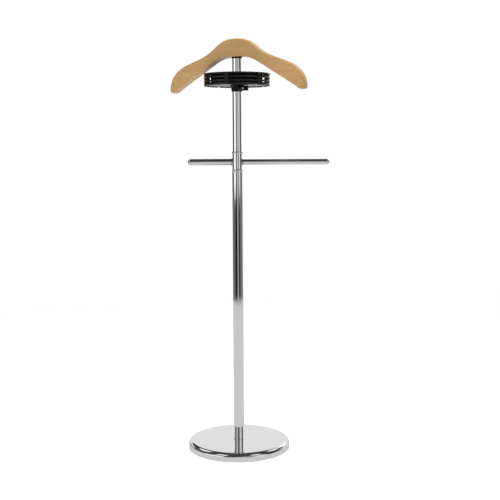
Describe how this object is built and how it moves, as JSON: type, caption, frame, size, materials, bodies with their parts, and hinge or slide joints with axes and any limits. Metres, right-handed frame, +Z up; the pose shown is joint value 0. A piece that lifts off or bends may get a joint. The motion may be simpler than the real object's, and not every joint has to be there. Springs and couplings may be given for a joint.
{
  "type": "valet stand",
  "caption": "Free-standing valet stand: weighted round base, chromed column, swivelling trouser bar, clamped gallery tray and swivelling shaped wooden hanger.",
  "frame": {"origin": "on the floor, under the column's axis", "axes": "+Z up along the column; the front is -Y; the longer arm of the trouser bar points along +X"},
  "size_m": [0.4338, 0.28, 1.1183],
  "materials": {
    "chrome_base": "polished",
    "chrome_tube": "polished",
    "chrome_ring": "polished",
    "chrome_bar": "polished",
    "chrome_plug": "polished",
    "weld_grey": "satin",
    "black_plastic": "semi-gloss",
    "knob_plastic": "semi-matt",
    "cap_plastic": "matt",
    "nylon_bush": "matt",
    "zinc_steel": "zinc plated",
    "plain_steel": "turned",
    "brass_insert": "turned",
    "varnished_beech": "clear satin varnish",
    "cast_weight": "as cast",
    "black_steel": "painted",
    "floor_rubber": "matt"
  },
  "bodies": {
    "column": {"base_cover": "chrome_base", "base_weight": "cast_weight", "bottom_plate": "black_steel", "floor_pad": "floor_rubber", "base_bolt": "zinc_steel", "base_washer": "zinc_steel", "foot_ring": "chrome_base", "foot_spigot": "chrome_tube", "lower_tube": "chrome_tube", "joint_plug": "plain_steel", "joint_stud": "zinc_steel", "tube_insert": "plain_steel", "upper_tube": "chrome_tube", "lower_ring": "chrome_ring", "upper_ring": "chrome_ring", "tube_cap": "cap_plastic"},
    "crossbar": {"bar_sleeve": "chrome_tube", "left_bar": "chrome_bar", "right_bar": "chrome_bar", "left_collar": "weld_grey", "right_collar": "weld_grey", "left_end_plug": "chrome_plug", "right_end_plug": "chrome_plug"},
    "tray_grip": {"tray_bush": "nylon_bush"},
    "tray": {"tray_gallery": "black_plastic", "tray_liner": "black_plastic", "tray_pan": "black_plastic", "tray_hub": "black_plastic", "clamp_nut": "brass_insert"},
    "pressure_pad": {"clamp_pad": "brass_insert"},
    "knob": {"clamp_screw": "zinc_steel", "clamp_knob": "knob_plastic"},
    "hanger": {"hanger_board": "varnished_beech", "hanger_insert": "brass_insert", "pivot_bolt": "zinc_steel", "pivot_nut": "zinc_steel"}
  },
  "joints": [
    {"name": "crossbar_swivel", "type": "hinge", "parent": "column", "child": "crossbar", "pos_m": [0, 0, 0.7923], "axis": [0, 0, 1], "continuous": true},
    {"name": "tray_height", "type": "slide", "parent": "column", "child": "tray_grip", "axis": [0, 0, 1], "range_m": [-0.15, 0.006]},
    {"name": "tray_turn", "type": "hinge", "parent": "tray_grip", "child": "tray", "pos_m": [0, 0, 0.987], "axis": [0, 0, 1], "continuous": true},
    {"name": "pad_travel", "type": "slide", "parent": "tray", "child": "pressure_pad", "axis": [0.4695, -0.8829, 0], "range_m": [0, 0.0016]},
    {"name": "knob_turn", "type": "hinge", "parent": "pressure_pad", "child": "knob", "pos_m": [0, 0, 0.987], "axis": [0.4695, -0.8829, 0], "range_deg": [0, 720]},
    {"name": "hanger_swivel", "type": "hinge", "parent": "column", "child": "hanger", "pos_m": [0, 0, 1.071], "axis": [0, 0, 1], "continuous": true}
  ],
  "couplings": [
    {"joint": "knob_turn", "follows": "pad_travel", "rad_per_m": 7854}
  ]
}
